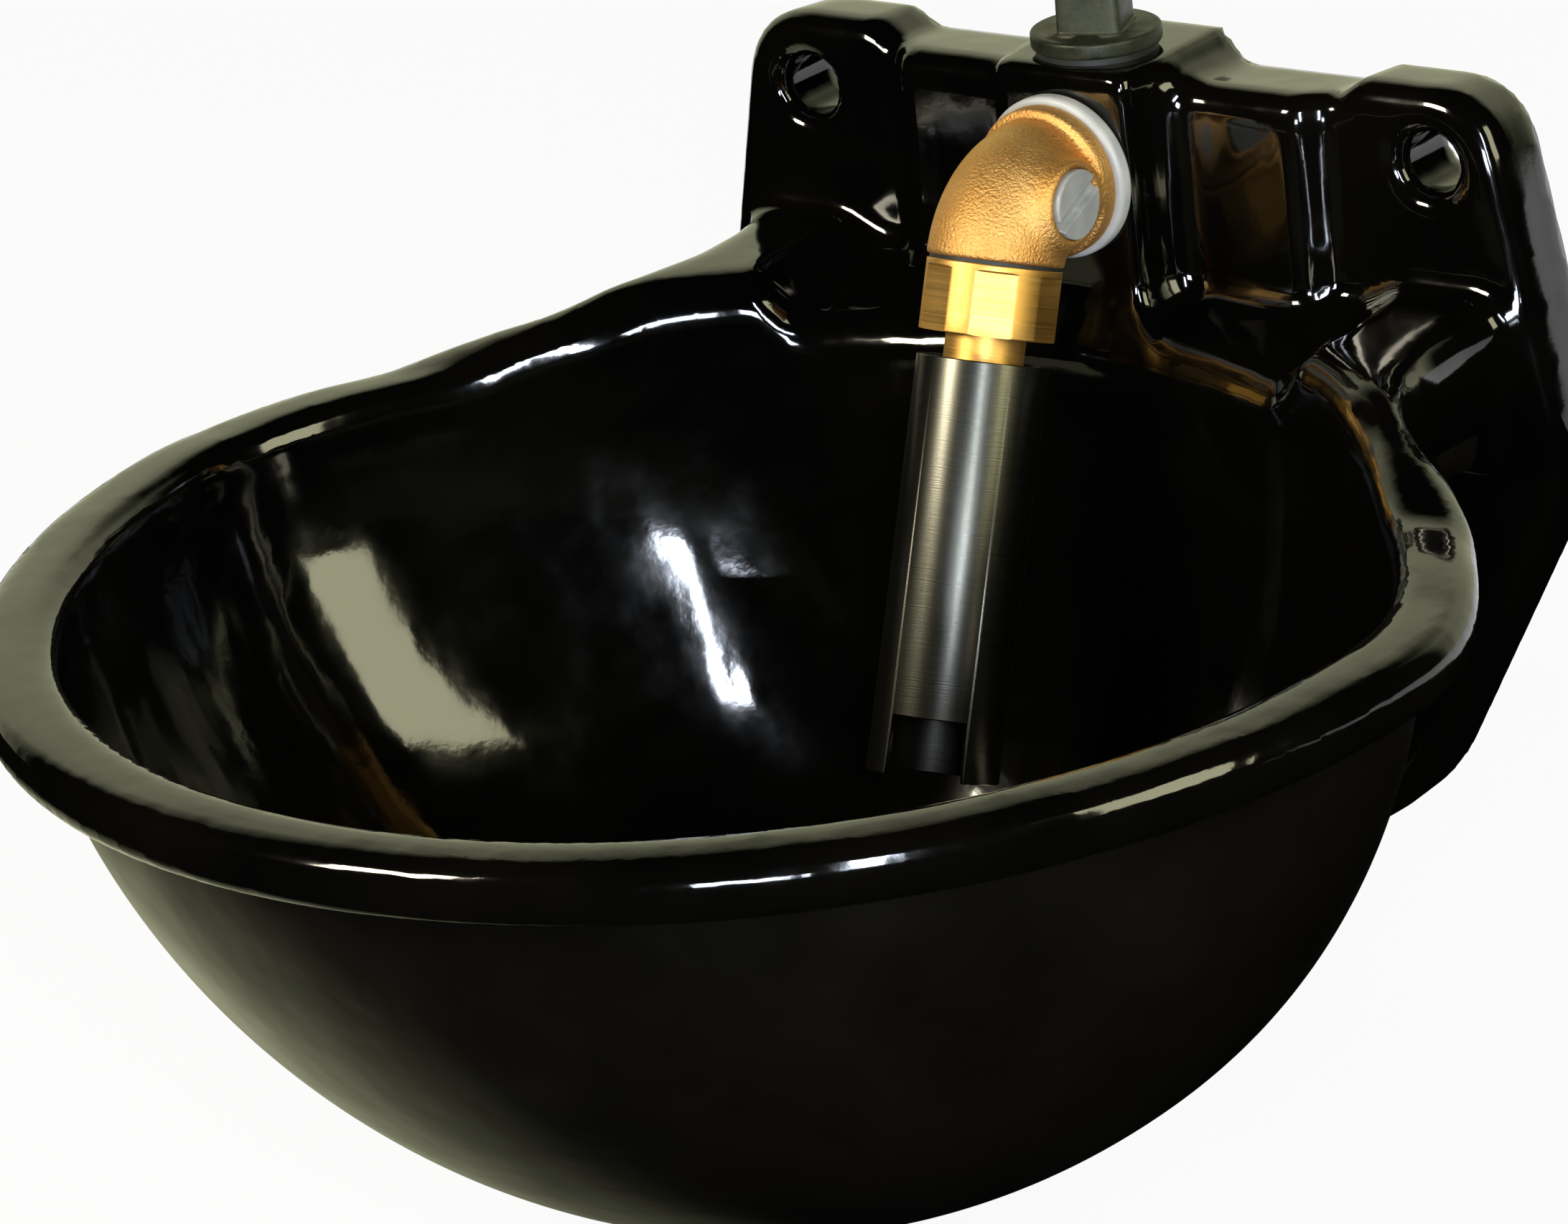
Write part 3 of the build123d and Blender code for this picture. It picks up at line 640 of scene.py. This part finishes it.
# ------------------------------------------------------------------ casting and elbow
def paint_outer(obj, verts, faces):
    """The outer wall under the rim takes the ground coat: faces outside the wall's middle."""
    x, y, z = verts[faces].mean(1).T
    v, w = rim_axes(y, z)
    wall = bowl_level(x, v, w, WALL / 2, PROFILE_DEPTH - WALL / 2)
    outside = (wall > 0) & (w < -2 * BEAD_HALF - 0.3) & (y < -PANEL_FRONT - 2)
    outside |= w < -BOWL_DEPTH + WALL / 2
    obj.data.materials.append(MATERIALS["dull_enamel"])
    obj.data.polygons.foreach_set("material_index", outside.astype(np.int32))


def make_casting():
    """The casting as a 2.3 mm net, held inside its CAD box."""
    verts, faces = polygonise(casting_level, (-168, -315.5, -192), (168, 3.5, 22), 2.3)
    low, high = (np.array(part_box("bowl_casting")[n]) / MM for n in (0, 1))
    verts = np.clip(verts, low, high)
    casting = add_mesh("enamelled_bowl", verts, faces, MATERIALS["enamelled_casting"],
                       "casting_and_valve", ["bowl_casting"])
    paint_outer(casting, verts, faces)


BARREL_RADIUS, COLLAR_RADIUS = 14.5, 16.4
SPIGOT_RADIUS, SPIGOT_BORE, SPIGOT_Y = 10.4, 7.5, -25.0      # threaded end inside the casting
SCREW_BOSS_RADIUS, SCREW_BOSS_X, SCREW_SEAT_RADIUS, SHANK_RADIUS = 9.3, 16.0, 7.6, 4.25
SOCKET_RADIUS, SOCKET_DEPTH = 11.35, 8.9                     # takes the nut's spigot


def elbow_pipe(x, y, z):
    """Distance from the elbow's centreline: straight, 70 degrees of a 17 mm bend, then the leg."""
    cy, cz = y - BEND_Y, z - VALVE_Z + BEND_RADIUS
    turn = np.arctan2(-cy, cz)
    bend = np.hypot(np.hypot(cy, cz) - BEND_RADIUS, x)
    straight = np.hypot(x, z - VALVE_Z)
    ly, lz = y - LEG_ORIGIN[1], z - LEG_ORIGIN[2]
    leg = np.hypot(x, ly * math.cos(LEG_TILT) - lz * math.sin(LEG_TILT))
    return np.where(cy > 0, straight, np.where(turn < BEND_TURN, bend, leg))


def elbow_level(x, y, z):
    """Distance to the cast elbow: pipe + screw boss + collar + spigot - bores."""
    ly, lz = y - LEG_ORIGIN[1], z - LEG_ORIGIN[2]
    up = ly * LEG_UP[1] + lz * LEG_UP[2]
    leg = np.hypot(x, ly * LEG_UP[2] - lz * LEG_UP[1])
    axis = elbow_pipe(x, y, z)
    screw = np.hypot(y - SCREW_Y, z - SCREW_Z)
    around = np.hypot(x, z - VALVE_Z)

    body = smooth_max(np.maximum(axis - BARREL_RADIUS, y - SEAL_Y), -up, 0.8)
    boss = smooth_max(screw - SCREW_BOSS_RADIUS, x - SCREW_BOSS_X, 1.6)
    body = smooth_min(body, np.maximum(boss, -x), 4)
    collar = smooth_max(around - COLLAR_RADIUS, np.maximum(y - SEAL_Y, COLLAR_Y - y), 1.0)
    body = smooth_min(body, collar, 1.2)
    body = np.minimum(body, np.maximum(around - SPIGOT_RADIUS, np.maximum(y - SPIGOT_Y, -44 - y)))

    bore = np.minimum(np.where(y < SEAL_Y, axis - BORE_RADIUS, 99), around - SPIGOT_BORE)
    bore = np.where(y < -50, axis - BORE_RADIUS, bore)
    socket = np.maximum(leg - SOCKET_RADIUS, up - SOCKET_DEPTH)
    shank = np.maximum(screw - SHANK_RADIUS, -2 - x)
    seat = np.maximum(screw - SCREW_SEAT_RADIUS, 14.9 - x)
    hollow = np.minimum(np.minimum(socket, shank), np.minimum(seat, bore))
    return smooth_max(body, -hollow, 0.6)


make_casting()
verts, faces = polygonise(elbow_level, (-18, -83, -33), (18, -22, 14), 0.6)
add_mesh("cast_elbow", verts, faces, MATERIALS["cast_brass"], "casting_and_valve", ["valve_elbow"])


# ------------------------------------------------------------------ turned pieces
def rounded(points, radius):
    """Closed (r, z) outline whose corners p are curves a (1 - t)^2 + 2 p t (1 - t) + b t^2."""
    points = [np.array(p, float) for p in points]
    out = []
    for n, corner in enumerate(points):
        into, onto = points[n - 1] - corner, points[(n + 1) % len(points)] - corner
        reach = min(radius, 0.45 * np.linalg.norm(into), 0.45 * np.linalg.norm(onto))
        a = corner + into / np.linalg.norm(into) * reach
        b = corner + onto / np.linalg.norm(onto) * reach
        for t in (0, 0.25, 0.5, 0.75, 1):
            out.append(a * (1 - t)**2 + corner * 2 * t * (1 - t) + b * t * t)
    return np.array(out)


def lathe(outline, segments, shape=None):
    """Closed ring of quads: (r cos a, r sin a, z) for the outline's (r, z), a = 2 pi n / segments.

    shape(r, z, a) may return a changed (r, z). The outline runs anticlockwise in (r, z).
    """
    a = np.arange(segments) * 2 * math.pi / segments
    r, a_grid = np.meshgrid(outline[:, 0], a, indexing="ij")
    z = np.repeat(outline[:, 1][:, None], segments, 1)
    if shape:
        r, z = shape(r, z, a_grid)
    verts = np.stack([r * np.cos(a_grid), r * np.sin(a_grid), z], -1).reshape(-1, 3)
    index = np.arange(len(verts)).reshape(len(outline), segments)
    right, down = np.roll(index, -1, 1), np.roll(index, -1, 0)
    faces = np.stack([index, right, np.roll(down, -1, 1), down], -1).reshape(-1, 4)
    return verts, faces[:, ::-1]


def to_leg(verts):
    """From leg coordinates (origin at the nut's top, +Z up the leg) to the frame."""
    across = np.array((0, math.cos(LEG_TILT), -math.sin(LEG_TILT)))
    return LEG_ORIGIN + verts[:, :1] * (1, 0, 0) + verts[:, 1:2] * across + verts[:, 2:] * LEG_UP


NUT_RADIUS, NUT_CORNER, NUT_HALF_FLATS = 14.3, 14.6, 13.55
NUT = [(9.2, -9.5), (4.8, -9.5), (4.8, -11), (11.2, -11), (11.2, -15.8), (NUT_RADIUS, -15.8),
       (NUT_RADIUS, -0.8), (11.3, -0.8), (11.3, 8.5), (9.2, 8.5)]
FLATS_TOP = -2.0
FLAT_BANDS = (-12, -8, -4, -2.45, -2.3, -2.2, -2.1, -1.95, -1.8)    # rows for the flats' ends
TUBE = [(12.8, -21), (12.8, -109), (14, -109), (14, -21)]
NOTCH_RISE, NOTCH_CENTRE, NOTCH_HALF_ANGLE = 12.6, math.radians(-65), math.radians(35.9)
RING = [(PORT_RADIUS, -42), (17.75, -42), (17.75, -38), (PORT_RADIUS, -38)]
PLUG_DISC_TOP, PLUG_TURN = 23.0, math.radians(21)
PLUG = [(0.02, 19.4), (14, 19.4), (14, PLUG_DISC_TOP), (7.1, PLUG_DISC_TOP), (6.85, 37.0),
        (0.02, 37.0)]
SCREW_FACE, SLOT_DEPTH, SLOT_HALF, SLOT_TURN = 17.1, 1.4, 1.45, math.radians(25)
SCREW = [(0.02, 0), (3.9, 0), (3.9, 15), (7.45, 15), (7.45, SCREW_FACE), (0.02, SCREW_FACE)]


def nut_shape(r, z, a):
    """Six flats below the collar: r is held to half the flats' width / cos (angle off a flat)."""
    turn = (a - math.radians(8)) % (math.pi / 3)
    turn = np.minimum(turn, math.pi / 3 - turn)
    flat = NUT_HALF_FLATS / np.cos(turn)
    cut = smooth_step((FLATS_TOP - z) / 0.35)
    return np.where(r > 12.5, np.minimum(r, NUT_CORNER + (flat - NUT_CORNER) * cut), r), z


def square_shape(r, z, a):
    """Square head with worn corners above the disc: r / (|cos a|^9 + |sin a|^9)^(1/9)."""
    turn = a - PLUG_TURN
    side = (np.abs(np.cos(turn))**9 + np.abs(np.sin(turn))**9)**(-1 / 9)
    return np.where(z > PLUG_DISC_TOP + 0.05, r * side, r), z


def tube_shape(r, z, a):
    """Foot of the tube raised over the notch, whose sides slope over half a degree."""
    off = np.abs((a - NOTCH_CENTRE + math.pi) % (2 * math.pi) - math.pi)
    rise = NOTCH_RISE * np.clip((NOTCH_HALF_ANGLE - off) / math.radians(0.5) + 0.5, 0, 1)
    return r, np.where(z < -100, z + rise, z)


def screw_shape(r, z, a):
    """Slot across the head: its face is lowered where it is near the slot's line."""
    across = np.abs(r * np.sin(a - SLOT_TURN))
    slot = SLOT_DEPTH * smooth_step((SLOT_HALF - across) / 0.3)
    return r, np.where(z > SCREW_FACE - 0.5, z - slot, z)


outline = rounded(NUT, 0.3)
at = int(np.argmax((outline[:, 0] > NUT_RADIUS - 0.1) & (outline[:, 1] > -2)))
outline = np.insert(outline, at, [(NUT_RADIUS, z) for z in FLAT_BANDS], axis=0)
verts, faces = lathe(outline, 240, nut_shape)
add_mesh("seat_nut_body", to_leg(verts), faces, MATERIALS["machined_brass"], "casting_and_valve",
         ["seat_nut"])

verts, faces = lathe(rounded(TUBE, 0.3), 360, tube_shape)
add_mesh("notched_tube", to_leg(verts), faces, MATERIALS["stainless_tube"], "tilt_tube",
         ["lever_tube"])

verts, faces = lathe(rounded(RING, 1.3), 160)
verts = np.stack([verts[:, 0], verts[:, 2], VALVE_Z - verts[:, 1]], 1)    # its axis turned to Y
add_mesh("white_ring", verts, faces, MATERIALS["white_plastic"], "casting_and_valve",
         ["elbow_seal_ring"])

verts, faces = lathe(rounded(PLUG, 0.9), 160, square_shape)
add_mesh("iron_plug", verts + (0, PORT_Y, 0), faces, MATERIALS["iron_plug"], "casting_and_valve",
         ["top_plug"])

# rings across the screw's face, close enough for the slot's edges
face_rows = [(r, SCREW_FACE) for r in np.linspace(6.9, 0.5, 22)]
verts, faces = lathe(np.insert(rounded(SCREW, 0.45), -5, face_rows, axis=0), 160, screw_shape)
verts = np.stack([verts[:, 2], verts[:, 0] + SCREW_Y, verts[:, 1] + SCREW_Z], 1)    # axis to X
add_mesh("slotted_flow_screw", verts, faces, MATERIALS["screw_plastic"], "flow_screw",
         ["flow_screw"])


# ------------------------------------------------------------------ studio
LAMP_DISTANCE, FLAG_DISTANCE = 1.3, 2.2      # m


def direction(azimuth, elevation):
    """Unit vector towards a lamp; azimuth 0 is in front of the wall, positive to its right."""
    a, e = math.radians(azimuth), math.radians(elevation)
    return Vector((math.sin(a) * math.cos(e), -math.cos(a) * math.cos(e), math.sin(e)))


def lamp(name, azimuth, elevation, width, height, radiance, colour):
    """Area lamp spanning width x height degrees from the object; power = 4 x radiance x area."""
    data = bpy.data.lights.new(name, "AREA")
    data.shape = "RECTANGLE"
    data.size = 2 * LAMP_DISTANCE * math.tan(math.radians(width / 2))
    data.size_y = 2 * LAMP_DISTANCE * math.tan(math.radians(height / 2))
    data.energy = radiance * data.size * data.size_y * 4
    data.color = linear(colour)[:3]
    obj = bpy.data.objects.new(name, data)
    bpy.context.scene.collection.objects.link(obj)
    towards = direction(azimuth, elevation)
    obj.location = Vector((0, -0.12, -0.05)) + towards * LAMP_DISTANCE
    obj.rotation_euler = towards.to_track_quat("Z", "Y").to_euler()


lamp("warm_softbox", -24, 29, 15, 13, 34, "FFF6DC")
lamp("cool_window_low", 27, 2, 12, 9, 30, "E6F0FF")
lamp("cool_window_tall", 42.5, 15, 4, 26, 44, "E6F0FF")
lamp("beige_reflector", 84, 23, 22, 32, 6, "F0EDC4")


def shown_white(tree):
    """1 for camera, glossy and transmitted rays, which see a white background."""
    ray = add(tree, "LightPath", {}).node.outputs
    kinds = ("Camera", "Glossy", "Transmission")
    camera, glossy, through = (ray[f"Is {kind} Ray"] for kind in kinds)
    seen = add(tree, "Math", {0: camera, 1: glossy}, operation="MAXIMUM")
    return add(tree, "Math", {0: seen, 1: through}, operation="MAXIMUM")


def make_world():
    """White background, with a weak even fill for diffuse light."""
    world = bpy.data.worlds.new("studio")
    bpy.context.scene.world = world
    world.use_nodes = True
    tree = world.node_tree
    weak = tree.nodes["Background"]
    fill(tree, weak, {"Color": (1, 1, 1, 1), "Strength": 0.25})
    white = add(tree, "Background", {"Color": (1, 1, 1, 1), "Strength": 1.0})
    mix = add(tree, "MixShader", {0: shown_white(tree), 1: weak.outputs[0], 2: white})
    tree.links.new(mix, tree.nodes["World Output"].inputs["Surface"])


def stage_mesh(name, verts, faces, material):
    """Piece of the studio, from vertices in metres."""
    mesh = bpy.data.meshes.new(name)
    mesh.from_pydata([tuple(v) for v in verts], [], [tuple(f) for f in faces])
    mesh.materials.append(material)
    obj = bpy.data.objects.new(name, mesh)
    bpy.context.scene.collection.objects.link(obj)
    return obj


def make_floor():
    """Pale floor under the bowl's foot: nearly white, with a trace of the shadow left on it."""
    made = bpy.data.materials.new("pale_floor")
    made.use_nodes = True
    tree = made.node_tree
    tree.nodes.remove(tree.nodes["Principled BSDF"])
    white = add(tree, "Emission", {"Color": (1, 1, 1, 1), "Strength": 1.0})
    pale = add(tree, "BsdfDiffuse", {"Color": (0.8, 0.8, 0.8, 1)})
    share = add(tree, "Math", {0: shown_white(tree), 1: 0.93}, operation="MULTIPLY")
    mix = add(tree, "MixShader", {0: share, 1: pale, 2: white})
    tree.links.new(mix, tree.nodes["Material Output"].inputs["Surface"])
    z = cad_box[0][2] - 0.0005
    stage_mesh("floor", [(-6, -6, z), (6, -6, z), (6, 6, z), (-6, 6, z)], [(0, 1, 2, 3)], made)


def black_cloth(cover):
    """Black cloth where cover(tree) is 1, clear with an olive tint where it is 0."""
    made = bpy.data.materials.new("black_cloth")
    made.use_nodes = True
    tree = made.node_tree
    shader = tree.nodes["Principled BSDF"]
    black = (0.002, 0.002, 0.002, 1)
    fill(tree, shader, {"Base Color": black, "Roughness": 1.0, "Specular IOR Level": 0.0})
    clear = add(tree, "BsdfTransparent", {"Color": linear("ECEEC4")})
    mix = add(tree, "MixShader", {0: cover(tree), 1: clear, 2: shader.outputs[0]})
    tree.links.new(mix, tree.nodes["Material Output"].inputs["Surface"])
    return made


def dome_cover(tree):
    """Covers the directions above 32 to 48 degrees, and those on the camera's side of the set."""
    place = add(tree, "TexCoord", {}, "Object")
    towards = add(tree, "VectorMath", {0: place}, operation="NORMALIZE")
    height = add(tree, "SeparateXYZ", {0: towards}, "Z")
    front = add(tree, "VectorMath", {0: towards, 1: direction(30, 0)}, "Value",
                operation="DOT_PRODUCT")
    low, high = math.sin(math.radians(32)), math.sin(math.radians(48))
    top = add(tree, "MapRange", {"Value": height, "From Min": low, "From Max": high})
    near = add(tree, "MapRange", {"Value": front, "From Min": -0.62, "From Max": -0.42})
    return add(tree, "Math", {0: top, 1: near}, operation="MAXIMUM")


def ground_cover(tree):
    """Covers the floor from 8 to 20 cm away from a spot behind the bowl's left side."""
    place = add(tree, "TexCoord", {}, "Object")
    spot = (-0.16, -0.14, cad_box[0][2])
    away = add(tree, "VectorMath", {0: place, 1: spot}, "Value", operation="DISTANCE")
    return add(tree, "MapRange", {"Value": away, "From Min": 0.08, "From Max": 0.2})


def grid_faces(rows, columns):
    """Quads of a grid whose points run column by column within a row."""
    index = np.arange(rows * columns).reshape(rows, columns)
    corners = [index[:-1, :-1], index[:-1, 1:], index[1:, 1:], index[1:, :-1]]
    return np.stack(corners, -1).reshape(-1, 4)


def make_flags():
    """Black cloth round the camera's side, overhead and on the ground, seen only in reflections."""
    azimuths, elevations = np.linspace(0, 360, 61), np.linspace(-40, 90, 21)
    sky = [direction(a, e) * FLAG_DISTANCE for a in azimuths for e in elevations]
    dome = stage_mesh("flag_dome", sky, grid_faces(61, 21), black_cloth(dome_cover))
    across = np.linspace(-FLAG_DISTANCE, FLAG_DISTANCE, 9)
    along = np.linspace(-FLAG_DISTANCE, 0.3, 6)
    ground = [(x, y, cad_box[0][2]) for x in across for y in along]
    sheet = stage_mesh("flag_ground", ground, grid_faces(9, 6), black_cloth(ground_cover))
    for obj in (dome, sheet):
        obj.visible_camera = obj.visible_diffuse = obj.visible_shadow = False
        obj.visible_transmission = obj.visible_volume_scatter = False


make_world()
make_floor()
make_flags()

bpy.context.scene.view_settings.view_transform = "Standard"
